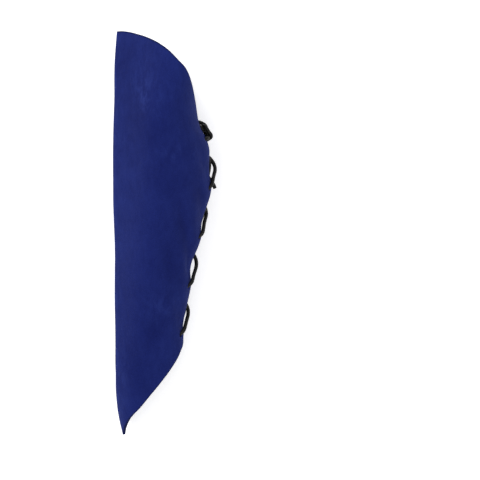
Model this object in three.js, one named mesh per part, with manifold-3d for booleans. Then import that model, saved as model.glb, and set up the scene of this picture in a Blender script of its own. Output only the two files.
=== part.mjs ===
// A suede arm bracer, lying on its side: the ridge over the forearm on the left, the laced back on
// the right, the elbow end at the top and the tongue over the hand at the bottom. Millimetres, +Z up.
import * as THREE from "three";
import { mergeVertices } from "three/addons/utils/BufferGeometryUtils.js";
import Module from "manifold-3d";

// Driving dimensions of the leather.
const LENGTH = 330; // from the tip over the hand to the peak at the elbow
const HALF_WIDTH = 46; // half the width of the elbow opening
const DEPTH = 79; // from the ridge to the laced back, at its deepest
const WALL = 2.2;
const RIDGE_RADIUS = 3.2; // of the pressed fold down the front
const PRESSED_FLAT = 2.6; // how far the leather gives where it lies on the ground
const UPPER_SAG = 0.95; // the upper wall sinks by its own weight to this share
const LIP_GAP = 5; // from the middle of the back to a laced edge
const LOWER_TUCK = 4.5; // the lower laced edge lies this far in behind the upper one

// Driving dimensions of the lacing.
const HOLE_PAIRS = 5;
const HOLE_PITCH = 39.8;
const LOWEST_HOLES = 83; // above the tip
const HOLE_INSET = 8; // from the laced edge, along the leather
const HOLE_RADIUS = 2.5;
const HOLE_SIDES = 12;
const SCALLOP = 3; // the edge draws in between the holes
const SPLAY = 1.2; // and opens there
const LACE_DIAMETER = 3;
const LACE_SIDES = 8;
const LACE_STEP = 3; // between the rings of the tube
const CLEARANCE = 0.35; // between the lace and what it runs over

// Colours and finishes.
const SUEDE = new THREE.MeshStandardMaterial({ color: 0x232a73, roughness: 0.95, metalness: 0 });
const CORD = new THREE.MeshStandardMaterial({ color: 0x141414, roughness: 0.6, metalness: 0 });

// Cross sections from the tip to the elbow. along is a share of LENGTH, half of HALF_WIDTH, deep of
// DEPTH and widest of the section's own depth. angle is that of each side at the ridge, in degrees
// from the middle plane, ridge the place of the ridge line as a share of DEPTH, gap of LIP_GAP.
const SECTIONS = [
  { along: 0.0, half: 0.31, deep: 0.7, widest: 0.26, angle: 80, ridge: 0.08, gap: 0.7 },
  { along: 0.04, half: 0.35, deep: 0.7, widest: 0.3, angle: 75, ridge: 0.045, gap: 0.7 },
  { along: 0.075, half: 0.395, deep: 0.7, widest: 0.36, angle: 68, ridge: 0.026, gap: 0.75 },
  { along: 0.13, half: 0.465, deep: 0.7, widest: 0.46, angle: 60, ridge: 0.011, gap: 0.8 },
  { along: 0.19, half: 0.515, deep: 0.695, widest: 0.52, angle: 54, ridge: 0.004, gap: 0.85 },
  { along: 0.252, half: 0.565, deep: 0.69, widest: 0.54, angle: 50, ridge: 0.003, gap: 0.9 },
  { along: 0.372, half: 0.68, deep: 0.768, widest: 0.55, angle: 48, ridge: 0.003, gap: 1.0 },
  { along: 0.493, half: 0.77, deep: 0.874, widest: 0.54, angle: 46, ridge: 0.0, gap: 1.0 },
  { along: 0.614, half: 0.855, deep: 0.98, widest: 0.53, angle: 45, ridge: -0.012, gap: 1.0 },
  { along: 0.7, half: 0.915, deep: 0.97, widest: 0.57, angle: 44, ridge: -0.015, gap: 1.0 },
  { along: 0.735, half: 0.935, deep: 0.925, widest: 0.59, angle: 44, ridge: -0.012, gap: 1.0 },
  { along: 0.765, half: 0.955, deep: 0.86, widest: 0.63, angle: 43, ridge: -0.008, gap: 1.3 },
  { along: 0.83, half: 0.985, deep: 0.818, widest: 0.7, angle: 42, ridge: 0.0, gap: 2.6 },
  { along: 0.91, half: 1.0, deep: 0.8, widest: 0.84, angle: 41, ridge: 0.004, gap: 4.4 },
  { along: 1.0, half: 0.98, deep: 0.78, widest: 0.9, angle: 41, ridge: 0.03, gap: 5.0 },
];

// The two cut ends of the leather. around is a share of the way from the ridge to the laced edge,
// along a share of LENGTH.
const TONGUE_EDGE = [
  { around: 0.0, along: 0.0 },
  { around: 0.05, along: 0.004 },
  { around: 0.1, along: 0.013 },
  { around: 0.16, along: 0.024 },
  { around: 0.23, along: 0.038 },
  { around: 0.31, along: 0.052 },
  { around: 0.4, along: 0.07 },
  { around: 0.5, along: 0.094 },
  { around: 0.6, along: 0.119 },
  { around: 0.7, along: 0.149 },
  { around: 0.8, along: 0.182 },
  { around: 0.9, along: 0.214 },
  { around: 1.0, along: 0.232 },
];
const ELBOW_EDGE = [
  { around: 0.0, along: 1.0 },
  { around: 0.08, along: 0.9995 },
  { around: 0.16, along: 0.997 },
  { around: 0.25, along: 0.9925 },
  { around: 0.35, along: 0.9865 },
  { around: 0.45, along: 0.977 },
  { around: 0.55, along: 0.9645 },
  { around: 0.65, along: 0.9455 },
  { around: 0.75, along: 0.9135 },
  { around: 0.84, along: 0.881 },
  { around: 0.92, along: 0.844 },
  { around: 1.0, along: 0.8 },
];

// How the laced edge draws in between the pairs of holes, from the lowest pair up. deep is a share
// of SCALLOP and at the place of the deepest point, as a share of HOLE_PITCH.
const SCALLOPS = [
  { deep: 0.45, at: 0.25 },
  { deep: 1.15, at: 0.42 },
  { deep: 0.8, at: 0.36 },
  { deep: 0.75, at: 0.36 },
];

// Reads one column of a table at any place, as a smooth curve through its rows.
function read(rows, key, place, column) {
  const last = rows.length - 1;
  const at = THREE.MathUtils.clamp(place, rows[0][key], rows[last][key]);
  let i = 0;
  while (i < last - 1 && at > rows[i + 1][key]) i += 1;
  const slope = (j) => {
    const a = rows[Math.max(j - 1, 0)];
    const b = rows[Math.min(j + 1, last)];
    return (b[column] - a[column]) / (b[key] - a[key]);
  };
  const span = rows[i + 1][key] - rows[i][key];
  const t = (at - rows[i][key]) / span;
  const h = t * t * (3 - 2 * t);
  const rise = slope(i) * span * t * (1 - t) * (1 - t);
  const fall = slope(i + 1) * span * t * t * (1 - t);
  return rows[i][column] * (1 - h) + rows[i + 1][column] * h + rise - fall;
}
const section = (y, column) => read(SECTIONS, "along", y / LENGTH, column);

// How deep the scallop is at a place along the edge: 0 at a hole, and deep where it is deepest.
const TOP_HOLES = LOWEST_HOLES + HOLE_PITCH * (HOLE_PAIRS - 1);
function betweenHoles(y) {
  const turns = (y - LOWEST_HOLES) / HOLE_PITCH;
  if (turns < 0 || y >= TOP_HOLES) return 0;
  const { deep, at } = SCALLOPS[Math.floor(turns) % SCALLOPS.length];
  const skewed = Math.pow(turns % 1, Math.log(0.5) / Math.log(at));
  return (deep * (1 - Math.cos(2 * Math.PI * skewed))) / 2;
}

// One half of a cross section, as points from the ridge (0, 0) to the laced edge.
const SECTION_POINTS = 48;
const sectionCache = new Map();
function halfSection(y) {
  const key = Math.round(y * 1000);
  if (sectionCache.has(key)) return sectionCache.get(key);
  const half = section(y, "half") * HALF_WIDTH;
  const deep = (section(y, "deep") - section(y, "ridge")) * DEPTH;
  const widest = section(y, "widest") * deep;
  const angle = THREE.MathUtils.degToRad(section(y, "angle"));
  const gap = section(y, "gap") * LIP_GAP;
  const chord = Math.hypot(widest, half);
  const side = new THREE.CubicBezierCurve(
    new THREE.Vector2(0, 0),
    new THREE.Vector2(0.42 * chord * Math.cos(angle), 0.42 * chord * Math.sin(angle)),
    new THREE.Vector2(widest - 0.3 * chord, half),
    new THREE.Vector2(widest, half),
  );
  const back = new THREE.CubicBezierCurve(
    new THREE.Vector2(widest, half),
    new THREE.Vector2(widest + 0.56 * (deep - widest), half),
    new THREE.Vector2(deep, gap + 0.56 * (half - gap)),
    new THREE.Vector2(deep, gap),
  );
  const points = [...side.getPoints(SECTION_POINTS), ...back.getPoints(SECTION_POINTS).slice(1)];
  for (const p of points) {
    const rounded = Math.sqrt(p.y * p.y + RIDGE_RADIUS * RIDGE_RADIUS) - RIDGE_RADIUS;
    const fade = Math.max(0, 1 - p.x / deep);
    p.x += ((rounded - p.y) / Math.tan(angle)) * fade;
  }
  const lengths = [0];
  for (let i = 1; i < points.length; i += 1) {
    lengths.push(lengths[i - 1] + points[i].distanceTo(points[i - 1]));
  }
  const found = { points, lengths, girth: lengths[lengths.length - 1] };
  sectionCache.set(key, found);
  return found;
}

// The middle of the leather. around runs from -1 at the lower laced edge, through 0 at the ridge,
// to 1 at the upper one; y is the height above the tip.
function leather(around, y) {
  const { points, lengths, girth } = halfSection(y);
  const share = Math.abs(around);
  const target = share * girth;
  let i = 1;
  while (i < lengths.length - 1 && lengths[i] < target) i += 1;
  const t = (target - lengths[i - 1]) / (lengths[i] - lengths[i - 1]);
  const p = points[i - 1].clone().lerp(points[i], t);
  const edge = THREE.MathUtils.smoothstep(share, 0.7, 1) * betweenHoles(y);
  const tuck = around < 0 ? LOWER_TUCK * THREE.MathUtils.smoothstep(share, 0.6, 1) : 0;
  const x = section(y, "ridge") * DEPTH + p.x - SCALLOP * edge - tuck;
  const q = p.y + SPLAY * edge;
  const middle = section(y, "half") * HALF_WIDTH - PRESSED_FLAT + WALL / 2;
  const z = around < 0 ? Math.max(middle - q, WALL / 2) : middle + q * UPPER_SAG;
  return new THREE.Vector3(x, y, z);
}

// The direction out of the leather.
const NUDGE = 0.002;
function outward(around, y) {
  const a = Math.min(around + NUDGE, 1);
  const b = Math.max(around - NUDGE, -1);
  const across = leather(a, y).sub(leather(b, y));
  const along = leather(around, y + 0.3).sub(leather(around, y - 0.3));
  return across.cross(along).normalize();
}

// A point off the leather: outside it where out is positive, inside it where it is negative.
function off(around, y, out) {
  return leather(around, y).addScaledVector(outward(around, y), out);
}

function geometryOf(vertices, triangles) {
  const geometry = new THREE.BufferGeometry();
  geometry.setAttribute("position", new THREE.Float32BufferAttribute(vertices, 3));
  geometry.setIndex(triangles);
  return geometry;
}

// The wall of leather between its cut edges, as rows of places round the arm.
const AROUND_STEPS = 40;
const ALONG_STEPS = 38;
function shellGeometry() {
  const vertices = [];
  const triangles = [];
  const row = AROUND_STEPS + 1;
  const layer = row * (ALONG_STEPS + 1);
  for (const side of [1, -1]) {
    for (let j = 0; j <= ALONG_STEPS; j += 1) {
      for (let i = 0; i <= AROUND_STEPS; i += 1) {
        const even = (2 * i) / AROUND_STEPS - 1;
        const around = Math.sign(even) * Math.pow(Math.abs(even), 1.15);
        const low = read(TONGUE_EDGE, "around", Math.abs(around), "along");
        const high = read(ELBOW_EDGE, "around", Math.abs(around), "along");
        const y = LENGTH * (low + ((high - low) * j) / ALONG_STEPS);
        vertices.push(...off(around, y, (side * WALL) / 2).toArray());
      }
    }
  }
  const quad = (a, b, c, d) => triangles.push(a, b, c, a, c, d);
  for (let j = 0; j < ALONG_STEPS; j += 1) {
    for (let i = 0; i < AROUND_STEPS; i += 1) {
      const a = j * row + i;
      quad(a, a + 1, a + row + 1, a + row);
      quad(layer + a, layer + a + row, layer + a + row + 1, layer + a + 1);
    }
  }
  const rim = [];
  for (let i = 0; i < AROUND_STEPS; i += 1) rim.push(i);
  for (let j = 0; j < ALONG_STEPS; j += 1) rim.push(j * row + AROUND_STEPS);
  for (let i = AROUND_STEPS; i > 0; i -= 1) rim.push(ALONG_STEPS * row + i);
  for (let j = ALONG_STEPS; j > 0; j -= 1) rim.push(j * row);
  rim.forEach((a, k) => {
    const b = rim[(k + 1) % rim.length];
    quad(a, layer + a, layer + b, b);
  });
  return geometryOf(vertices, triangles);
}

const wasm = await Module();
wasm.setup();
function solidOf(geometry) {
  const bare = geometry.clone();
  bare.deleteAttribute("normal");
  bare.deleteAttribute("uv");
  const merged = mergeVertices(bare, 1e-4);
  const vertProperties = new Float32Array(merged.attributes.position.array);
  const triVerts = new Uint32Array(merged.index.array);
  return new wasm.Manifold(new wasm.Mesh({ numProp: 3, vertProperties, triVerts }));
}

// Where the holes are, as heights and as a share of the way round.
const holeHeight = (pair) => LOWEST_HOLES + HOLE_PITCH * pair;
const holeAround = (pair) => 1 - HOLE_INSET / halfSection(holeHeight(pair)).girth;

// A punch through the leather, square to it.
function punch(side, pair) {
  const around = side * holeAround(pair);
  const y = holeHeight(pair);
  const drill = new THREE.CylinderGeometry(HOLE_RADIUS, HOLE_RADIUS, 4 * WALL, HOLE_SIDES);
  const up = new THREE.Vector3(0, 1, 0);
  const turn = new THREE.Quaternion().setFromUnitVectors(up, outward(around, y));
  drill.applyQuaternion(turn);
  drill.translate(...leather(around, y).toArray());
  return solidOf(drill);
}

function leatherShell() {
  let solid = solidOf(shellGeometry());
  for (let pair = 0; pair < HOLE_PAIRS; pair += 1) {
    for (const side of [1, -1]) solid = solid.subtract(punch(side, pair));
  }
  const cut = solid.getMesh();
  const shell = new THREE.Mesh(geometryOf([...cut.vertProperties], [...cut.triVerts]), SUEDE);
  shell.name = "leather_shell";
  return shell;
}

// A tube along a smooth curve through a list of places.
function tube(points, name) {
  const curve = new THREE.CatmullRomCurve3(points, false, "centripetal");
  curve.arcLengthDivisions = 30 * points.length;
  const ring = [];
  for (let i = 0; i < LACE_SIDES; i += 1) {
    const turn = (2 * Math.PI * i) / LACE_SIDES;
    const reach = LACE_DIAMETER / 2;
    ring.push(new THREE.Vector2(reach * Math.cos(turn), reach * Math.sin(turn)));
  }
  const geometry = new THREE.ExtrudeGeometry(new THREE.Shape(ring), {
    steps: Math.round(curve.getLength() / LACE_STEP),
    curveSegments: 1,
    bevelEnabled: false,
    extrudePath: curve,
  });
  const piece = new THREE.Mesh(geometry, CORD);
  piece.name = name;
  return piece;
}

// How far the middle of the lace stands off the middle of the leather that it runs over.
const RUN = WALL / 2 + LACE_DIAMETER / 2 + CLEARANCE;

// The middle of the back, between the two laced edges, moved outwards and to one side.
function between(y, out, aside) {
  const upper = leather(1, y);
  const lower = leather(-1, y);
  return new THREE.Vector3(upper.x + out, y, (upper.z + lower.z) / 2 + aside);
}

// How far the strands of each crossing stand out from the upper edge, in cord diameters, from the
// lowest crossing up.
const BOWS = [
  { outer: 1.37, inner: -0.1 },
  { outer: 1.95, inner: -0.5 },
  { outer: 1.15, inner: 0 },
  { outer: 2.1, inner: 0.45 },
];

// One strand from a hole to the next hole up on the other side: out, over its own edge, across the
// back, under the other edge and up to that hole. The strand from the upper side crosses outside.
function crossing(side, pair) {
  const from = holeHeight(pair);
  const to = holeHeight(pair + 1);
  const here = side * holeAround(pair);
  const there = -side * holeAround(pair + 1);
  const at = (share) => from + (to - from) * share;
  const bow = (side > 0 ? BOWS[pair].outer : BOWS[pair].inner) * LACE_DIAMETER;
  const overLower = bow * 0.6 + (RUN - LOWER_TUCK) * 0.4;
  const start = side > 0 ? Math.max(bow, LACE_DIAMETER) * 0.85 : overLower;
  const under = side > 0 ? LOWER_TUCK : 0;
  const aside = (LIP_GAP + SPLAY) * 0.42;
  return [
    off(here, from, 0),
    off(here + side * 0.008, at(0.03), RUN),
    off(side * (0.4 * holeAround(pair) + 0.6), at(0.17), RUN * 1.08),
    between(at(0.31), start, side * (LIP_GAP + SPLAY) * 0.6),
    between(at(0.43), bow, 0),
    between(at(0.64), bow * 0.4 - under * 0.4, -side * aside),
    between(at(0.76), -RUN * 1.04 - under, -side * aside * 1.5),
    off(there - side * 0.035, at(0.9), -RUN * 1.16),
    off(there, at(0.975), -RUN),
  ];
}

// The two strands that leave the top holes are tied twice over the gap: each knot is one turn of
// the strands round each other, whose axis runs from edge to edge. The strand of the lower side
// stays outside the other one, and both loop back between the knots.
const KNOT_HEIGHTS = [2.4, 9.2]; // above the top holes
const KNOT_OUT = [4.6, 4.1]; // from the edges
const KNOT_HALF = 3.6;
const KNOT_RADIUS = 1.9;
const KNOT_TURN_POINTS = 8;
const LOOP_BULGE = 3;
const LOOP_OUT = { inner: 3.7, outer: 6.0 };
function knotTurn(which, start, spin, phase) {
  const middle = between(TOP_HOLES + KNOT_HEIGHTS[which], KNOT_OUT[which], 0);
  const points = [];
  for (let i = 0; i <= KNOT_TURN_POINTS; i += 1) {
    const share = i / KNOT_TURN_POINTS;
    const turn = 2 * Math.PI * share * spin + phase;
    const x = middle.x + KNOT_RADIUS * Math.cos(turn);
    const y = middle.y + KNOT_RADIUS * Math.sin(turn);
    points.push(new THREE.Vector3(x, y, middle.z + start * KNOT_HALF * (1 - 2 * share)));
  }
  return points;
}
function tied(side) {
  const phase = side > 0 ? Math.PI : 0;
  const out = side > 0 ? LOOP_OUT.inner : LOOP_OUT.outer;
  const loop = [0.25, 0.5, 0.75].map((share) => {
    const height = THREE.MathUtils.lerp(KNOT_HEIGHTS[0], KNOT_HEIGHTS[1], share);
    const aside = KNOT_HALF + LOOP_BULGE * Math.sin(Math.PI * share);
    return between(TOP_HOLES + height, out, -side * aside);
  });
  return [...knotTurn(0, side, -side, phase), ...loop, ...knotTurn(1, -side, -side, phase)];
}

// Both strands then turn over the knot and in behind it. Each place is given as the distance out
// from the edges, the height above the top holes and the distance aside, towards the upper edge.
const SHORT_END = [
  [1.2, 11.8, 3.4],
  [-1.3, 13, 2.5],
  [-3.9, 12.1, 1.9],
];
const TUCK = [
  [5.5, 11.4, -5.4],
  [4.1, 13.6, -5.5],
  [1.3, 14.9, -4.5],
  [-1.7, 14.6, -3.1],
  [-3.6, 12.4, -1.6],
];
const beside = ([out, height, aside]) => between(TOP_HOLES + height, out, aside);

// The free end of the lace: down inside the gap, behind the topmost crossing, and out below it to
// its square cut. The places are chosen one by one, from the middle of the back at the top holes.
const FREE_END = [
  [-7.4, 8.4, 0.1],
  [-6.8, 5.0, 0.1],
  [-6.0, 2.0, 0.1],
  [-5.2, -1.0, 0.1],
  [-4.5, -4.0, 0.1],
  [-3.9, -7.0, 0.1],
  [-3.4, -10.0, 0.1],
  [-3.0, -13.0, 0.2],
  [-2.7, -16.0, 0.3],
  [-2.5, -19.0, 0.5],
  [-2.2, -22.0, 0.7],
  [-1.3, -25.0, 0.8],
  [0.5, -28.0, 0.7],
  [2.8, -31.0, 0.4],
  [5.0, -34.0, -0.1],
  [6.8, -37.0, -0.8],
  [8.1, -39.9, -1.6],
];
const FACE_GAP = 0.3; // between the two lengths of lace, which meet face to face
function freeEnd() {
  const start = between(TOP_HOLES, 0, 0);
  return FREE_END.map((place) => start.clone().add(new THREE.Vector3(...place)));
}

// The whole lace: a bar inside the lowest pair of holes, whose two strands cross their way up.
const KNOT_APPROACH = { upper: 0.6, lower: 2.6 }; // below the top holes, at the edge
const BAR_DROP = 3; // below the lowest holes, in the middle of the bar
function laceRoute() {
  const left = [];
  const right = [];
  for (let pair = 0; pair < HOLE_PAIRS - 1; pair += 1) {
    const side = pair % 2 === 0 ? 1 : -1;
    left.push(...crossing(side, pair));
    right.push(...crossing(-side, pair));
  }
  const last = HOLE_PAIRS - 1;
  const top = last % 2 === 0 ? 1 : -1;
  for (const [strand, side] of [[left, top], [right, -top]]) {
    strand.push(off(side * holeAround(last), TOP_HOLES, 0));
    const drop = side > 0 ? KNOT_APPROACH.upper : KNOT_APPROACH.lower;
    strand.push(off(side * (0.8 * holeAround(last) + 0.2), TOP_HOLES - drop / 2, RUN));
    strand.push(off(side * (0.35 * holeAround(last) + 0.65), TOP_HOLES - drop, RUN * 1.23));
    strand.push(...tied(side));
  }
  left.push(...SHORT_END.map(beside));
  right.push(...TUCK.map(beside));
  const [first, second] = freeEnd();
  const away = first.clone().sub(second).normalize();
  right.push(first.clone().addScaledVector(away, FACE_GAP + LACE_DIAMETER / 3));
  right.push(first.clone().addScaledVector(away, FACE_GAP));
  const bar = between(LOWEST_HOLES - BAR_DROP, -RUN * 2.2, 0);
  const lead = off(holeAround(0), LOWEST_HOLES - BAR_DROP / 3, -RUN);
  const follow = off(-holeAround(0), LOWEST_HOLES - BAR_DROP / 3, -RUN);
  return [...left.reverse(), lead, bar, follow, ...right];
}

const group = new THREE.Group();
const pieces = [leatherShell(), tube(laceRoute(), "lace"), tube(freeEnd(), "lace_end")];
group.add(...pieces);
const bounds = new THREE.Box3().setFromObject(pieces[0]).union(new THREE.Box3().setFromObject(pieces[1]));
const middle = bounds.getCenter(new THREE.Vector3());
group.position.set(-middle.x, -middle.y, 0);
export default group;
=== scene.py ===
import math

import bpy
import numpy as np
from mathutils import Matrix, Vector, noise


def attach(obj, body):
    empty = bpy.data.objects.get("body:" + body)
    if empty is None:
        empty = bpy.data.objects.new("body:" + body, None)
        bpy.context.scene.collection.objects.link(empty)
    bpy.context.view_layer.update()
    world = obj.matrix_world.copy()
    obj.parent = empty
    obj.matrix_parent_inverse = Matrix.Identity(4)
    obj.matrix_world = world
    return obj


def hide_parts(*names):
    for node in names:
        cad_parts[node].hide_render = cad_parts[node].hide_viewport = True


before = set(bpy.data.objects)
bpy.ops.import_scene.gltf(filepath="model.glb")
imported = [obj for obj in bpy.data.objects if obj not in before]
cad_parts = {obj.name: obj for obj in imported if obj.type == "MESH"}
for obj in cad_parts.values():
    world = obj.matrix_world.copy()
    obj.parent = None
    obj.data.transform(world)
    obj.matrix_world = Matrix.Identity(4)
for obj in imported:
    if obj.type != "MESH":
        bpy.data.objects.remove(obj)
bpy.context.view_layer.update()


# The leather's form. One piece of suede was pressed over a form while damp, which left the ridge
# down the front and the rounded back. Lying on its side, it gives a little where it meets the ground.
LENGTH = 0.330
HALF_WIDTH = 0.046
DEPTH = 0.079
WALL = 0.0022
RIDGE_RADIUS = 0.0032
PRESSED_FLAT = 0.0026
UPPER_SAG = 0.95
LIP_GAP = 0.005
LOWER_TUCK = 0.0045
HOLE_PAIRS = 5
HOLE_PITCH = 0.0398
LOWEST_HOLES = 0.083
HOLE_INSET = 0.008
HOLE_RADIUS = 0.0024
SCALLOP = 0.003
SPLAY = 0.0012
FOOTPRINT_MIDDLE = (0.0405039, 0.1649616)  # from the ridge line and from the tip

# along is a share of LENGTH, half of HALF_WIDTH, deep of DEPTH and widest of the section's depth.
SECTION_COLUMNS = ("along", "half", "deep", "widest", "angle", "ridge", "gap")
SECTIONS = np.array([
    (0.0, 0.31, 0.7, 0.26, 80, 0.08, 0.7),
    (0.04, 0.35, 0.7, 0.3, 75, 0.045, 0.7),
    (0.075, 0.395, 0.7, 0.36, 68, 0.026, 0.75),
    (0.13, 0.465, 0.7, 0.46, 60, 0.011, 0.8),
    (0.19, 0.515, 0.695, 0.52, 54, 0.004, 0.85),
    (0.252, 0.565, 0.69, 0.54, 50, 0.003, 0.9),
    (0.372, 0.68, 0.768, 0.55, 48, 0.003, 1.0),
    (0.493, 0.77, 0.874, 0.54, 46, 0.0, 1.0),
    (0.614, 0.855, 0.98, 0.53, 45, -0.012, 1.0),
    (0.7, 0.915, 0.97, 0.57, 44, -0.015, 1.0),
    (0.735, 0.935, 0.925, 0.59, 44, -0.012, 1.0),
    (0.765, 0.955, 0.86, 0.63, 43, -0.008, 1.3),
    (0.83, 0.985, 0.818, 0.7, 42, 0.0, 2.6),
    (0.91, 1.0, 0.8, 0.84, 41, 0.004, 4.4),
    (1.0, 0.98, 0.78, 0.9, 41, 0.03, 5.0),
])
# The two cut ends: share of the way from the ridge to the laced edge, and share of LENGTH.
TONGUE_EDGE = np.array([
    (0.0, 0.0), (0.05, 0.004), (0.1, 0.013), (0.16, 0.024), (0.23, 0.038), (0.31, 0.052), (0.4, 0.07),
    (0.5, 0.094), (0.6, 0.119), (0.7, 0.149), (0.8, 0.182), (0.9, 0.214), (1.0, 0.232),
])
ELBOW_EDGE = np.array([
    (0.0, 1.0), (0.08, 0.9995), (0.16, 0.997), (0.25, 0.9925), (0.35, 0.9865), (0.45, 0.977),
    (0.55, 0.9645), (0.65, 0.9455), (0.75, 0.9135), (0.84, 0.881), (0.92, 0.844), (1.0, 0.8),
])
# Between the pairs of holes, from the lowest pair up: share of SCALLOP, and place of the deepest point.
SCALLOPS = ((0.45, 0.25), (1.15, 0.42), (0.8, 0.36), (0.75, 0.36))


def read(rows, column, place):
    """One column of a table at any place, as a smooth curve through its rows."""
    keys = rows[:, 0]
    at = min(max(place, keys[0]), keys[-1])
    i = min(max(int(np.searchsorted(keys, at)) - 1, 0), len(keys) - 2)

    def slope(j):
        a, b = max(j - 1, 0), min(j + 1, len(keys) - 1)
        return (rows[b, column] - rows[a, column]) / (keys[b] - keys[a])

    span = keys[i + 1] - keys[i]
    t = (at - keys[i]) / span
    h = t * t * (3 - 2 * t)
    value = rows[i, column] * (1 - h) + rows[i + 1, column] * h
    return value + slope(i) * span * t * (1 - t) ** 2 - slope(i + 1) * span * t * t * (1 - t)


def section(y, name):
    """One measure of the cross section at a height above the tip."""
    return read(SECTIONS, SECTION_COLUMNS.index(name), y / LENGTH)


def smoothstep(value, low, high):
    """Eases from 0 at low to 1 at high."""
    t = min(max((value - low) / (high - low), 0), 1)
    return t * t * (3 - 2 * t)


TOP_HOLES = LOWEST_HOLES + HOLE_PITCH * (HOLE_PAIRS - 1)


def between_holes(y):
    """How deep the scallop of the laced edge is at a height: 0 beside a hole."""
    turns = (y - LOWEST_HOLES) / HOLE_PITCH
    if turns < 0 or y >= TOP_HOLES:
        return 0
    deep, at = SCALLOPS[min(int(turns), HOLE_PAIRS - 2)]
    skewed = (turns % 1) ** (math.log(0.5) / math.log(at))
    return deep * (1 - math.cos(2 * math.pi * skewed)) / 2


# The curves of a cross section: how straight each leaves the ridge, meets the widest place and
# rounds the back, as shares of its own reach.
RIDGE_STIFFNESS = 0.42
WIDEST_STIFFNESS = 0.3
BACK_ROUNDNESS = 0.56
BEZIER = np.linspace(0, 1, 41)[:, None]
BEZIER_WEIGHTS = np.hstack([
    (1 - BEZIER) ** 3, 3 * BEZIER * (1 - BEZIER) ** 2, 3 * BEZIER**2 * (1 - BEZIER), BEZIER**3,
])
SECTIONS_KEPT_PER_METRE = 2e5
section_cache = {}


def half_section(y):
    """Points of one side of a cross section from the ridge to the laced edge, and their distances."""
    key = round(y * SECTIONS_KEPT_PER_METRE)
    if key in section_cache:
        return section_cache[key]
    half = section(y, "half") * HALF_WIDTH
    deep = (section(y, "deep") - section(y, "ridge")) * DEPTH
    widest = section(y, "widest") * deep
    angle = math.radians(section(y, "angle"))
    gap = section(y, "gap") * LIP_GAP
    chord = math.hypot(widest, half)
    side = BEZIER_WEIGHTS @ np.array([
        (0, 0),
        (RIDGE_STIFFNESS * chord * math.cos(angle), RIDGE_STIFFNESS * chord * math.sin(angle)),
        (widest - WIDEST_STIFFNESS * chord, half),
        (widest, half),
    ])
    back = BEZIER_WEIGHTS @ np.array([
        (widest, half),
        (widest + BACK_ROUNDNESS * (deep - widest), half),
        (deep, gap + BACK_ROUNDNESS * (half - gap)),
        (deep, gap),
    ])
    points = np.vstack([side, back[1:]])
    rounded = np.sqrt(points[:, 1] ** 2 + RIDGE_RADIUS**2) - RIDGE_RADIUS
    fade = np.maximum(0, 1 - points[:, 0] / deep)
    points[:, 0] += (rounded - points[:, 1]) / math.tan(angle) * fade
    steps = np.hypot(*np.diff(points, axis=0).T)
    lengths = np.concatenate([[0], np.cumsum(steps)])
    section_cache[key] = points, lengths
    return section_cache[key]


SCALLOPED_FROM = 0.7  # share of the way from the ridge to the laced edge
TUCKED_FROM = 0.6


def leather(around, y):
    """The middle of the leather. around is -1 at the lower laced edge, 0 at the ridge, 1 at the upper."""
    points, lengths = half_section(y)
    share = abs(around)
    reach = share * lengths[-1]
    edge = smoothstep(share, SCALLOPED_FROM, 1) * between_holes(y)
    tuck = LOWER_TUCK * smoothstep(share, TUCKED_FROM, 1) if around < 0 else 0
    x = section(y, "ridge") * DEPTH + np.interp(reach, lengths, points[:, 0]) - SCALLOP * edge - tuck
    q = np.interp(reach, lengths, points[:, 1]) + SPLAY * edge
    middle = section(y, "half") * HALF_WIDTH - PRESSED_FLAT + WALL / 2
    z = max(middle - q, WALL / 2) if around < 0 else middle + q * UPPER_SAG
    return Vector((x - FOOTPRINT_MIDDLE[0], y - FOOTPRINT_MIDDLE[1], z))


STEP_AROUND = 0.002
STEP_ALONG = 0.0003


def outward(around, y):
    """The direction straight out of the leather."""
    across = leather(min(around + STEP_AROUND, 1), y) - leather(max(around - STEP_AROUND, -1), y)
    along = leather(around, y + STEP_ALONG) - leather(around, y - STEP_ALONG)
    return across.cross(along).normalized()


def off(around, y, out):
    """A place that stands off the middle of the leather."""
    return leather(around, y) + outward(around, y) * out


def hole_around(pair):
    """How far round a pair of holes lies."""
    return 1 - HOLE_INSET / half_section(LOWEST_HOLES + HOLE_PITCH * pair)[1][-1]


# The leather shell. It is laid out as a grid over the form, from cut edge to cut edge, given its
# thickness, and punched with five pairs of plain holes. Use has left soft dents and pulled folds.
COLUMNS = 170
ROWS = 190
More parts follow.
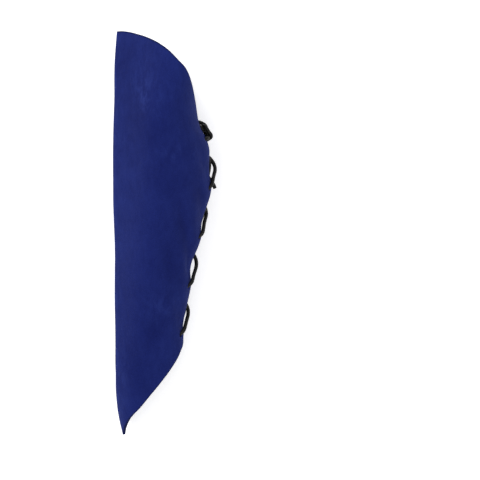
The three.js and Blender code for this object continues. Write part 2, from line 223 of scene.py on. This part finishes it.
# Dents of the leather: where they are round the arm and along it, their reach both ways, how far
# their long axis is turned, in degrees, and their depth. All lengths are in metres.
DENTS = [
    {"around": 0.84, "along": 0.192, "wide": 0.0045, "long": 0.012, "turn": 34, "strong": 0.0016},
    {"around": 0.73, "along": 0.168, "wide": 0.0042, "long": 0.020, "turn": 26, "strong": 0.0024},
    {"around": 0.66, "along": 0.140, "wide": 0.0055, "long": 0.016, "turn": 22, "strong": 0.0014},
    {"around": 0.86, "along": 0.140, "wide": 0.0035, "long": 0.010, "turn": 30, "strong": 0.0010},
    {"around": 0.84, "along": 0.098, "wide": 0.0040, "long": 0.013, "turn": 30, "strong": 0.0013},
    {"around": 0.84, "along": 0.222, "wide": 0.0045, "long": 0.014, "turn": 28, "strong": 0.0013},
    {"around": 0.64, "along": 0.229, "wide": 0.0035, "long": 0.013, "turn": 72, "strong": 0.0007},
    {"around": 0.56, "along": 0.083, "wide": 0.0075, "long": 0.010, "turn": 10, "strong": 0.0013},
    {"around": 0.46, "along": 0.050, "wide": 0.0090, "long": 0.018, "turn": 38, "strong": 0.0014},
    {"around": 0.42, "along": 0.285, "wide": 0.016, "long": 0.022, "turn": 0, "strong": 0.0011},
    {"around": 0.30, "along": 0.225, "wide": 0.012, "long": 0.035, "turn": 4, "strong": 0.0008},
    {"around": -0.45, "along": 0.255, "wide": 0.014, "long": 0.030, "turn": 0, "strong": 0.0011},
    {"around": -0.75, "along": 0.190, "wide": 0.005, "long": 0.018, "turn": -28, "strong": 0.0013},
    {"around": -0.78, "along": 0.105, "wide": 0.005, "long": 0.016, "turn": -26, "strong": 0.0011},
    {"around": 0.15, "along": 0.045, "wide": 0.005, "long": 0.012, "turn": 60, "strong": 0.0006},
]
# Rubbed patches, where the nap is paler and broken. strong is a share of the whole effect here.
SCUFFS = [
    {"around": 0.36, "along": 0.286, "wide": 0.008, "long": 0.011, "strong": 1.0},
    {"around": 0.42, "along": 0.271, "wide": 0.007, "long": 0.006, "strong": 0.7},
    {"around": 0.66, "along": 0.230, "wide": 0.012, "long": 0.004, "strong": 0.8},
    {"around": 0.10, "along": 0.240, "wide": 0.006, "long": 0.006, "strong": 0.6},
    {"around": 0.60, "along": 0.106, "wide": 0.010, "long": 0.006, "strong": 0.6},
    {"around": 0.13, "along": 0.045, "wide": 0.005, "long": 0.018, "strong": 0.7},
    {"around": -0.35, "along": 0.200, "wide": 0.012, "long": 0.020, "strong": 0.7},
    {"around": -0.50, "along": 0.090, "wide": 0.010, "long": 0.016, "strong": 0.6},
]
# Darker patches, in the same terms: partly nap lying the other way, and partly painted shade laid into
# the folds beside the dents.
BRUSHED_NAP_AND_FOLD_SHADE = [
    {"around": 0.47, "along": 0.236, "wide": 0.017, "long": 0.030, "turn": 10, "strong": 0.50},
    {"around": 0.45, "along": 0.175, "wide": 0.020, "long": 0.028, "turn": 0, "strong": 0.25},
    {"around": 0.72, "along": 0.166, "wide": 0.0035, "long": 0.020, "turn": 24, "strong": 0.40},
    {"around": 0.64, "along": 0.142, "wide": 0.005, "long": 0.012, "turn": 20, "strong": 0.55},
    {"around": 0.82, "along": 0.195, "wide": 0.004, "long": 0.010, "turn": 30, "strong": 0.55},
    {"around": 0.40, "along": 0.105, "wide": 0.018, "long": 0.026, "turn": 0, "strong": 0.50},
    {"around": 0.56, "along": 0.082, "wide": 0.005, "long": 0.007, "turn": 0, "strong": 0.45},
    {"around": 0.34, "along": 0.052, "wide": 0.012, "long": 0.018, "turn": 20, "strong": 0.60},
    {"around": 0.14, "along": 0.305, "wide": 0.012, "long": 0.014, "turn": 0, "strong": 0.50},
    {"around": 0.28, "along": 0.262, "wide": 0.014, "long": 0.018, "turn": 0, "strong": 0.45},
    {"around": -0.50, "along": 0.225, "wide": 0.018, "long": 0.030, "turn": 0, "strong": 0.40},
    {"around": -0.45, "along": 0.120, "wide": 0.016, "long": 0.030, "turn": 0, "strong": 0.40},
]


def strength_at(patches, around, y):
    """How strongly the soft oval patches of a list show at a place."""
    girth = half_section(y)[1][-1]
    strength = 0
    for patch in patches:
        across = (around - patch["around"]) * girth
        along = y - patch["along"]
        turn = math.radians(patch.get("turn", 0))
        u = (across * math.cos(turn) + along * math.sin(turn)) / patch["wide"]
        v = (along * math.cos(turn) - across * math.sin(turn)) / patch["long"]
        strength += patch["strong"] * math.exp(-(u * u + v * v) / 2)
    return strength


WAVES_AROUND = 22  # soft waves to a metre
WAVES_ALONG = 14
WAVE_SLICE = 3.1  # any other number gives other waves of the same kind
WAVE_HEIGHT = 0.0007
RIPPLE_HEIGHT = 0.00035
RIPPLES_PER_WAVE = 2.7
STILL_EDGE = 0.06  # share of the way in from the laced edge over which the waves die out


def dented(around, y):
    """How far the leather stands in or out of its plain form at a place."""
    girth = half_section(y)[1][-1]
    place = Vector((around * girth * WAVES_AROUND, y * WAVES_ALONG, WAVE_SLICE))
    waves = WAVE_HEIGHT * noise.noise(place) + RIPPLE_HEIGHT * noise.noise(place * RIPPLES_PER_WAVE)
    depth = waves - strength_at(DENTS, around, y)
    return depth * smoothstep(1 - abs(around), 0, STILL_EDGE)


COLUMN_CROWDING = 1.12  # above 1, the columns of the grid stand closer towards the ridge
CUT_WOBBLE = 0.0006  # the two cut ends aren't quite true
WOBBLES_AROUND = 4
WOBBLES_ALONG = 30
WOBBLE_SLICE = 7.7
WOBBLE_REACH = 0.02
NEAR_GROUND = 0.01
GROUND_SOFTNESS = 0.0004
RUBBED_RIDGE = 0.006
CUT_WIDTH = 0.0009

bpy.ops.object.select_all(action="DESELECT")
bpy.ops.mesh.primitive_grid_add(x_subdivisions=COLUMNS, y_subdivisions=ROWS, size=1)
shell = bpy.context.object
shell.name = "suede_shell"
for attribute in ("ridge_wear", "edge_wear", "rubbing", "brushed_and_fold_shade"):
    shell.data.attributes.new(attribute, "FLOAT", "POINT")
ridge_wear = shell.data.attributes["ridge_wear"].data
edge_wear = shell.data.attributes["edge_wear"].data
rubbing = shell.data.attributes["rubbing"].data
brushed_and_fold_shade = shell.data.attributes["brushed_and_fold_shade"].data
for vertex in shell.data.vertices:
    even = 2 * vertex.co.x
    around = math.copysign(abs(even) ** COLUMN_CROWDING, even)
    low = read(TONGUE_EDGE, 1, abs(around)) * LENGTH
    high = read(ELBOW_EDGE, 1, abs(around)) * LENGTH
    y = low + (high - low) * (vertex.co.y + 0.5)
    wobble = CUT_WOBBLE * noise.noise(Vector((around * WOBBLES_AROUND, y * WOBBLES_ALONG, WOBBLE_SLICE)))
    near_end = min(y - low, high - y)
    y += wobble * math.exp(-near_end / WOBBLE_REACH)
    place = off(around, y, dented(around, y))
    floor = WALL / 2
    if place.z < NEAR_GROUND:
        above = (place.z - floor) / GROUND_SOFTNESS
        place.z = floor + math.log1p(math.exp(above)) * GROUND_SOFTNESS
    girth = half_section(y)[1][-1]
    from_edge = min(near_end, (1 - abs(around)) * girth)
    vertex.co = place
    ridge_wear[vertex.index].value = math.exp(-((around * girth / RUBBED_RIDGE) ** 2))
    edge_wear[vertex.index].value = math.exp(-((from_edge / CUT_WIDTH) ** 2))
    rubbing[vertex.index].value = strength_at(SCUFFS, around, y)
    # The darker patches: nap lying the other way, and painted shade in the folds beside the dents.
    brushed_and_fold_shade[vertex.index].value = strength_at(BRUSHED_NAP_AND_FOLD_SHADE, around, y)
bpy.ops.object.mode_set(mode="EDIT")
bpy.ops.mesh.select_all(action="SELECT")
bpy.ops.mesh.normals_make_consistent(inside=False)
bpy.ops.object.mode_set(mode="OBJECT")
thickness = shell.modifiers.new("thickness", "SOLIDIFY")
thickness.thickness = WALL
thickness.offset = 0
thickness.use_even_offset = False
bpy.ops.object.modifier_apply(modifier="thickness")

punches = []
for pair in range(HOLE_PAIRS):
    for side in (1, -1):
        y = LOWEST_HOLES + HOLE_PITCH * pair
        around = side * hole_around(pair)
        turn = outward(around, y).to_track_quat("Z", "Y").to_euler()
        bpy.ops.mesh.primitive_cylinder_add(
            vertices=32, radius=HOLE_RADIUS, depth=4 * WALL, location=leather(around, y), rotation=turn,
        )
        punches.append(bpy.context.object)
bpy.ops.object.select_all(action="DESELECT")
for punch in punches:
    punch.select_set(True)
bpy.context.view_layer.objects.active = punches[0]
bpy.ops.object.join()
punch = bpy.context.object
bpy.ops.object.select_all(action="DESELECT")
shell.select_set(True)
bpy.context.view_layer.objects.active = shell
holes = shell.modifiers.new("holes", "BOOLEAN")
holes.operation = "DIFFERENCE"
holes.object = punch
holes.solver = "EXACT"
bpy.ops.object.modifier_apply(modifier="holes")
bpy.data.objects.remove(punch)
CUT_ROUNDING = 0.0004
rounding = shell.modifiers.new("rounding", "BEVEL")
rounding.width = CUT_ROUNDING
rounding.segments = 2
rounding.limit_method = "ANGLE"
rounding.angle_limit = math.radians(50)
bpy.ops.object.modifier_apply(modifier="rounding")
bpy.ops.object.shade_smooth_by_angle(angle=math.radians(45))

# Suede: dyed deep blue, with a short nap that lies in soft cloudy strokes, rubbed a little paler
# along the ridge and in a few scuffed patches, darker where the nap lies the other way, and with
# painted shade in the folds beside the dents.
SUEDE_BLUE = (0.0090, 0.0162, 0.1120, 1)
SUEDE_DARK = (0.0068, 0.0122, 0.0900, 1)
SUEDE_PALE = (0.0140, 0.0245, 0.1400, 1)
# The darkest blue, for nap lying the other way and for shade painted into the folds.
SUEDE_BRUSHED_AND_SHADE = (0.0042, 0.0080, 0.0700, 1)
CUT_BLUE = (0.0030, 0.0050, 0.0330, 1)
LINT = (0.13, 0.15, 0.24, 1)


def node(tree, kind, inputs, **properties):
    """Adds a shader node. inputs gives its sockets a value or another node's output."""
    made = tree.nodes.new(kind)
    for name, value in properties.items():
        setattr(made, name, value)
    for socket, source in inputs.items():
        if isinstance(source, bpy.types.NodeSocket):
            tree.links.new(source, made.inputs[socket])
        else:
            made.inputs[socket].default_value = source
    return made


def pattern(tree, where, scale, detail, roughness):
    """A cloudy pattern of values round one half."""
    inputs = {"Vector": where, "Scale": scale, "Detail": detail, "Roughness": roughness}
    return node(tree, "ShaderNodeTexNoise", inputs).outputs[0]


def drawn_out(tree, where, rotation, scale):
    """Places turned and scaled, so that a pattern on them runs one way."""
    inputs = {"Vector": where, "Rotation": rotation, "Scale": scale}
    return node(tree, "ShaderNodeMapping", inputs).outputs[0]


def stretched(tree, value, low, high, least=0.0, most=1.0):
    """A value between low and high, stretched to lie between least and most."""
    inputs = {"Value": value, "From Min": low, "From Max": high, "To Min": least, "To Max": most}
    return node(tree, "ShaderNodeMapRange", inputs).outputs[0]


def worked_out(tree, operation, first, second, clamp=False):
    """A sum, product or comparison of two values."""
    inputs = {0: first, 1: second}
    return node(tree, "ShaderNodeMath", inputs, operation=operation, use_clamp=clamp).outputs[0]


def laid_over(tree, share, under, over):
    """One colour laid over another by a share."""
    inputs = {"Factor": share, 6: under, 7: over}
    return node(tree, "ShaderNodeMix", inputs, data_type="RGBA").outputs[2]


def marked(tree, name):
    """How strongly a place of the mesh is marked by one of its attributes."""
    return node(tree, "ShaderNodeAttribute", {}, attribute_name=name).outputs["Fac"]


suede = bpy.data.materials.new("blue_suede")
suede.use_nodes = True
tree = suede.node_tree
tree.nodes.clear()
where = node(tree, "ShaderNodeTexCoord", {}).outputs["Object"]
clouds = pattern(tree, where, 62, 4, 0.55)
strokes = pattern(tree, drawn_out(tree, where, (0.2, 0.3, 0.5), (1, 0.45, 1)), 210, 4, 0.65)
nap = pattern(tree, where, 1500, 3, 0.7)
fibres = pattern(tree, drawn_out(tree, where, (0.4, 0.2, 0.9), (1, 0.3, 1)), 2600, 2, 0.6)
base = laid_over(tree, stretched(tree, clouds, 0.3, 0.7), SUEDE_DARK, SUEDE_BLUE)
stroked = laid_over(tree, stretched(tree, strokes, 0.4, 0.75, 0, 0.35), base, SUEDE_PALE)
# Painted shade: the folds beside the dents are darkened here, together with patches of nap that lie the
# other way.
brushed_and_shade_share = worked_out(tree, "MULTIPLY", marked(tree, "brushed_and_fold_shade"), 0.9, clamp=True)
brushed_and_shaded_nap = laid_over(tree, brushed_and_shade_share, stroked, SUEDE_BRUSHED_AND_SHADE)

# The ridge and the scuffs are rubbed paler in broken patches, and the cut edges are darker.
worn_places = worked_out(tree, "ADD", marked(tree, "ridge_wear"), marked(tree, "rubbing"))
broken = stretched(tree, strokes, 0.45, 0.62, 0, 0.8)
rubbed_share = worked_out(tree, "MULTIPLY", worn_places, broken, clamp=True)
worn = laid_over(tree, rubbed_share, brushed_and_shaded_nap, SUEDE_PALE)
cut_share = worked_out(tree, "MULTIPLY", marked(tree, "edge_wear"), 0.85)
cut = laid_over(tree, cut_share, worn, CUT_BLUE)

# A few specks of lint sit on the nap.
lint_cells = node(tree, "ShaderNodeTexVoronoi", {"Vector": where, "Scale": 30}).outputs["Distance"]
linted = laid_over(tree, worked_out(tree, "LESS_THAN", lint_cells, 0.012), cut, LINT)
speckle = {0: linted, "Scale": stretched(tree, nap, 0.3, 0.7, 0.78, 1.22)}
speckled = node(tree, "ShaderNodeVectorMath", speckle, operation="SCALE").outputs[0]
stroke_relief = {"Height": strokes, "Strength": 0.35, "Distance": 0.0012}
stroke_bump = node(tree, "ShaderNodeBump", stroke_relief).outputs[0]
nap_bump = node(tree, "ShaderNodeBump", {
    "Height": worked_out(tree, "ADD", nap, fibres),
    "Strength": 0.55,
    "Distance": 0.00035,
    "Normal": stroke_bump,
}).outputs[0]
surface = node(tree, "ShaderNodeBsdfPrincipled", {
    "Base Color": speckled,
    "Roughness": 0.92,
    "Specular IOR Level": 0.05,
    "Sheen Weight": 0.06,
    "Sheen Roughness": 0.5,
    "Sheen Tint": (0.30, 0.38, 0.9, 1),
    "Normal": nap_bump,
}).outputs[0]
node(tree, "ShaderNodeOutputMaterial", {"Surface": surface})
shell.data.materials.append(suede)
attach(shell, "root")
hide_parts("leather_shell")


# The lace. One round black leather cord runs inside across the lowest pair of holes, crosses the
# back from hole to hole on its way up and is tied twice over the top pair.
LACE_DIAMETER = 0.003
CLEARANCE = 0.0003
RUN = WALL / 2 + LACE_DIAMETER / 2 + CLEARANCE
# How far the outer and the inner strand of each crossing stand out from the upper edge, in cord
# diameters, from the lowest crossing up.
BOWS = ((1.37, -0.1), (1.95, -0.5), (1.15, 0), (2.1, 0.45))
# The two turns of the knot: heights above the top holes, how far they stand out from the edge, half
# their length from edge to edge, their radius, and the loops of the strands between them.
KNOT_HEIGHTS = (0.0024, 0.0092)
KNOT_OUT = (0.0046, 0.0041)
KNOT_HALF = 0.0036
KNOT_RADIUS = 0.0019
LOOP_BULGE = 0.003
LOOP_INNER = 0.0037
LOOP_OUTER = 0.0060
TURN_PLACES = 9


def between(y, out, aside):
    """A place off the middle of the back, between the two laced edges."""
    upper, lower = leather(1, y), leather(-1, y)
    return Vector((upper.x + out, upper.y, (upper.z + lower.z) / 2 + aside))


def crossing(side, pair):
    """One strand from a hole, over its own edge and under the other one, to the next hole up there."""
    start = LOWEST_HOLES + HOLE_PITCH * pair
    here, there = side * hole_around(pair), -side * hole_around(pair + 1)
    bow = BOWS[pair][0 if side > 0 else 1] * LACE_DIAMETER
    over_lower = bow * 0.6 + (RUN - LOWER_TUCK) * 0.4
    first = max(bow, LACE_DIAMETER) * 0.85 if side > 0 else over_lower
    under = LOWER_TUCK if side > 0 else 0
    gap = LIP_GAP + SPLAY

    def at(share):
        return start + HOLE_PITCH * share

    return [
        off(here, at(0), 0),
        off(here + side * 0.008, at(0.03), RUN),
        off(side * (0.4 * abs(here) + 0.6), at(0.17), RUN * 1.08),
        between(at(0.31), first, side * gap * 0.6),
        between(at(0.43), bow, 0),
        between(at(0.64), bow * 0.4 - under * 0.4, -side * gap * 0.42),
        between(at(0.76), -RUN * 1.04 - under, -side * gap * 0.63),
        off(there - side * 0.035, at(0.9), -RUN * 1.16),
        off(there, at(0.975), -RUN),
    ]


def knot_turn(which, start, spin, phase):
    """One turn of a strand round the other, along an axis from edge to edge."""
    middle = between(TOP_HOLES + KNOT_HEIGHTS[which], KNOT_OUT[which], 0)
    places = []
    for share in np.linspace(0, 1, TURN_PLACES):
        turn = 2 * math.pi * share * spin + phase
        round_axis = Vector((math.cos(turn), math.sin(turn), 0)) * KNOT_RADIUS
        places.append(middle + round_axis + Vector((0, 0, start * KNOT_HALF * (1 - 2 * share))))
    return places


def tied(side):
    """One strand through both knots, with the loop back between them."""
    phase = math.pi if side > 0 else 0
    out = LOOP_INNER if side > 0 else LOOP_OUTER
    loop = []
    for share in (0.25, 0.5, 0.75):
        height = KNOT_HEIGHTS[0] + (KNOT_HEIGHTS[1] - KNOT_HEIGHTS[0]) * share
        aside = KNOT_HALF + LOOP_BULGE * math.sin(math.pi * share)
        loop.append(between(TOP_HOLES + height, out, -side * aside))
    return knot_turn(0, side, -side, phase) + loop + knot_turn(1, -side, -side, phase)


FINE_PLACES = 16  # between two given places


def smooth_line(places, step):
    """Places a step apart along a smooth curve through the given ones."""
    fine = []
    padded = [2 * places[0] - places[1], *places, 2 * places[-1] - places[-2]]
    for a, b, c, d in zip(padded, padded[1:], padded[2:], padded[3:]):
        knots = [0.0]
        for p, q in ((a, b), (b, c), (c, d)):
            knots.append(knots[-1] + math.sqrt(max((q - p).length, 1e-6)))
        for share in np.linspace(0, 1, FINE_PLACES, endpoint=False):
            t = knots[1] + (knots[2] - knots[1]) * share
            ab = a.lerp(b, (t - knots[0]) / (knots[1] - knots[0]))
            bc = b.lerp(c, (t - knots[1]) / (knots[2] - knots[1]))
            cd = c.lerp(d, (t - knots[2]) / (knots[3] - knots[2]))
            abc = ab.lerp(bc, (t - knots[0]) / (knots[2] - knots[0]))
            bcd = bc.lerp(cd, (t - knots[1]) / (knots[3] - knots[1]))
            fine.append(abc.lerp(bcd, (t - knots[1]) / (knots[2] - knots[1])))
    fine = np.array([*fine, places[-1]])
    along = np.concatenate([[0], np.cumsum(np.linalg.norm(np.diff(fine, axis=0), axis=1))])
    at = np.linspace(0, along[-1], round(along[-1] / step) + 1)
    return np.stack([np.interp(at, along, fine[:, k]) for k in range(3)], axis=1)


EASING = 0.22
PUSHING = 0.35
STRANDS_APART = LACE_DIAMETER * 1.02


def settled(line, rounds, reach):
    """Eases the tight bends and pushes strands that touch apart, by small steps, ends held."""
    line = line.copy()
    count = len(line)
    apart = np.abs(np.arange(count)[:, None] - np.arange(count)[None]) > reach
    for _ in range(rounds):
        line[1:-1] += EASING * (line[:-2] + line[2:] - 2 * line[1:-1])
        away = line[:, None] - line[None]
        distance = np.linalg.norm(away, axis=2)
        close = apart & (distance < STRANDS_APART)
        push = np.where(close, (STRANDS_APART - distance) / np.maximum(distance, 1e-6), 0)
        move = (away * push[:, :, None]).sum(1) * PUSHING
        move[[0, -1]] = 0
        line += move
    return line


CORD_RADIUS = LACE_DIAMETER * 0.515  # leather cord runs a little over its gauge
END_ROUNDING = 0.00025


def cord_mesh(name, line):
    """A round cord along a line of places, with closed, slightly eased ends."""
    curve = bpy.data.curves.new(name, "CURVE")
    curve.dimensions = "3D"
    curve.bevel_depth = CORD_RADIUS
    curve.bevel_resolution = 5
    curve.use_fill_caps = True
    strand = curve.splines.new("POLY")
    strand.points.add(len(line) - 1)
    for point, place in zip(strand.points, line):
        point.co = (*place, 1)
    piece = bpy.data.objects.new(name, curve)
    bpy.context.scene.collection.objects.link(piece)
    bpy.ops.object.select_all(action="DESELECT")
    piece.select_set(True)
    bpy.context.view_layer.objects.active = piece
    bpy.ops.object.convert(target="MESH")
    piece = bpy.context.object
    bpy.ops.object.mode_set(mode="EDIT")
    bpy.ops.mesh.select_all(action="SELECT")
    bpy.ops.mesh.remove_doubles(threshold=1e-6)
    bpy.ops.mesh.normals_make_consistent(inside=False)
    bpy.ops.object.mode_set(mode="OBJECT")
    eased = piece.modifiers.new("eased", "BEVEL")
    eased.width = END_ROUNDING
    eased.segments = 2
    eased.limit_method = "ANGLE"
    eased.angle_limit = math.radians(60)
    bpy.ops.object.modifier_apply(modifier="eased")
    bpy.ops.object.shade_smooth_by_angle(angle=math.radians(50))
    return piece


# Where the two strands turn in behind the knot: out from the edges, above the top holes, and aside.
SHORT_END = ((0.0012, 0.0118, 0.0034), (-0.0013, 0.0130, 0.0025), (-0.0039, 0.0121, 0.0019))
TUCK = (
    (0.0055, 0.0114, -0.0054),
    (0.0041, 0.0136, -0.0055),
    (0.0013, 0.0149, -0.0045),
    (-0.0017, 0.0146, -0.0031),
    (-0.0036, 0.0124, -0.0016),
)
# The free end's route, down inside the gap, behind the topmost crossing and out below it.
FREE_END = [between(TOP_HOLES, 0, 0) + Vector(place) for place in (
    (-0.0074, 0.0084, 0.0001),
    (-0.0068, 0.0050, 0.0001),
    (-0.0060, 0.0020, 0.0001),
    (-0.0052, -0.0010, 0.0001),
    (-0.0045, -0.0040, 0.0001),
    (-0.0039, -0.0070, 0.0001),
    (-0.0034, -0.0100, 0.0001),
    (-0.0030, -0.0130, 0.0002),
    (-0.0027, -0.0160, 0.0003),
    (-0.0025, -0.0190, 0.0005),
    (-0.0022, -0.0220, 0.0007),
    (-0.0013, -0.0250, 0.0008),
    (0.0005, -0.0280, 0.0007),
    (0.0028, -0.0310, 0.0004),
    (0.0050, -0.0340, -0.0001),
    (0.0068, -0.0370, -0.0008),
    (0.0081, -0.0399, -0.0016),
)]
# How far below the top holes each strand comes out to the knot, by the side that it comes from.
KNOT_APPROACH = {1: 0.0006, -1: 0.0026}
# Where the lace meets its free end, above the end's first place and in line with it.
MEETING = (0.0013, 0.0001)
BAR_DROP = (0.001, 0.003)  # of the bar across the lowest holes, at its ends and in its middle
BAR_DEPTH = RUN * 2.2
LACE_STEP = 0.0007
SETTLING_ROUNDS = 60
SAME_STRAND = 10  # steps along the lace within which it isn't pushed off itself

left, right = [], []
for pair in range(HOLE_PAIRS - 1):
    side = 1 if pair % 2 == 0 else -1
    left += crossing(side, pair)
    right += crossing(-side, pair)
last = HOLE_PAIRS - 1
for strand, side in ((left, 1), (right, -1)):
    strand.append(off(side * hole_around(last), TOP_HOLES, 0))
    drop = KNOT_APPROACH[side]
    strand.append(off(side * (0.8 * hole_around(last) + 0.2), TOP_HOLES - drop / 2, RUN))
    strand.append(off(side * (0.35 * hole_around(last) + 0.65), TOP_HOLES - drop, RUN * 1.23))
    strand.extend(tied(side))
left += [between(TOP_HOLES + height, out, aside) for out, height, aside in SHORT_END]
right += [between(TOP_HOLES + height, out, aside) for out, height, aside in TUCK]
back_along = (FREE_END[0] - FREE_END[1]).normalized()
right += [FREE_END[0] + back_along * above for above in MEETING]
bar = [
    off(hole_around(0), LOWEST_HOLES - BAR_DROP[0], -RUN),
    between(LOWEST_HOLES - BAR_DROP[1], -BAR_DEPTH, 0),
    off(-hole_around(0), LOWEST_HOLES - BAR_DROP[0], -RUN),
]
route = smooth_line(left[::-1] + bar + right, LACE_STEP)
route = settled(route, SETTLING_ROUNDS, SAME_STRAND)
lace = cord_mesh("laced_cord", route)

# Black leather cord: smooth and slightly waxed, with a fine grain and dull highlights.
CORD_DEEP = (0.0012, 0.0013, 0.0013, 1)
CORD_BLACK = (0.0040, 0.0043, 0.0042, 1)
cord_finish = bpy.data.materials.new("black_cord")
cord_finish.use_nodes = True
tree = cord_finish.node_tree
tree.nodes.clear()
where = node(tree, "ShaderNodeTexCoord", {}).outputs["Object"]
grain = pattern(tree, where, 900, 4, 0.6)
blotches = pattern(tree, where, 180, 2, 0.5)
grain_relief = {"Height": grain, "Strength": 0.4, "Distance": 0.0002}
surface = node(tree, "ShaderNodeBsdfPrincipled", {
    "Base Color": laid_over(tree, stretched(tree, blotches, 0.35, 0.7), CORD_DEEP, CORD_BLACK),
    "Roughness": stretched(tree, grain, 0.3, 0.7, 0.42, 0.62),
    "Specular IOR Level": 0.22,
    "Normal": node(tree, "ShaderNodeBump", grain_relief).outputs[0],
}).outputs[0]
node(tree, "ShaderNodeOutputMaterial", {"Surface": surface})
lace.data.materials.append(cord_finish)
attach(lace, "root")
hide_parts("lace")

# The free end of the lace. It is tucked in behind the knot, runs down inside the gap behind the
# topmost crossing, comes out below it and is cut square.
FREE_END_STEP = 0.0008
free_line = smooth_line(FREE_END, FREE_END_STEP)
free_end = cord_mesh("free_end", free_line)
free_end.data.materials.append(cord_finish)
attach(free_end, "root")
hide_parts("lace_end")


# The ground and the light of the photograph: a plain white ground, which glows a little so that the
# shadow stays pale, a broad soft light from the upper left, which catches the ridge, and a weaker
# one high up on the right.
GROUND_SIZE = 8
GROUND_DROP = 0.0003
bpy.ops.object.select_all(action="DESELECT")
bpy.ops.mesh.primitive_plane_add(size=GROUND_SIZE, location=(0, 0, -GROUND_DROP))
ground = bpy.context.object
ground.name = "ground"
paper = bpy.data.materials.new("pale_ground")
paper.use_nodes = True
sheet = paper.node_tree.nodes["Principled BSDF"].inputs
sheet["Base Color"].default_value = (0.93, 0.93, 0.93, 1)
sheet["Roughness"].default_value = 0.9
sheet["Emission Color"].default_value = (1, 1, 1, 1)
sheet["Emission Strength"].default_value = 0.4
ground.data.materials.append(paper)

LAMPS = [
    {"name": "key", "place": (-1.3, 0.7, 1.8), "size": 1.8, "watts": 42},
    {"name": "fill", "place": (0.7, -0.3, 2.3), "size": 2.4, "watts": 26},
]
LIT_PLACE = Vector((0, 0, 0.04))
for lamp in LAMPS:
    light = bpy.data.lights.new(lamp["name"], "AREA")
    light.shape = "SQUARE"
    light.size = lamp["size"]
    light.energy = lamp["watts"]
    holder = bpy.data.objects.new(lamp["name"], light)
    holder.location = lamp["place"]
    aim = LIT_PLACE - Vector(lamp["place"])
    holder.rotation_euler = aim.to_track_quat("-Z", "Y").to_euler()
    bpy.context.scene.collection.objects.link(holder)
world = bpy.data.worlds.new("room")
world.use_nodes = True
world.node_tree.nodes["Background"].inputs["Color"].default_value = (1, 1, 1, 1)
world.node_tree.nodes["Background"].inputs["Strength"].default_value = 0.5
bpy.context.scene.world = world
bpy.context.scene.view_settings.view_transform = "Standard"

# The camera. It hangs straight over the bracer, as in the photograph, with the elbow end at the
# top of the frame and room on the right of the laced back.
MIDDLE_OF_VIEW = (0.0612, -0.0049)
VIEW_WIDTH = 0.3910
VIEW_PLANE = 0.045
CAMERA_HEIGHT = 3.0
SENSOR_WIDTH = 36
camera_data = bpy.data.cameras.new("camera")
camera_data.sensor_width = SENSOR_WIDTH
camera_data.lens = SENSOR_WIDTH * (CAMERA_HEIGHT - VIEW_PLANE) / VIEW_WIDTH
camera_data.clip_end = 20
camera = bpy.data.objects.new("camera", camera_data)
camera.location = (*MIDDLE_OF_VIEW, CAMERA_HEIGHT)
bpy.context.scene.collection.objects.link(camera)
bpy.context.scene.camera = camera
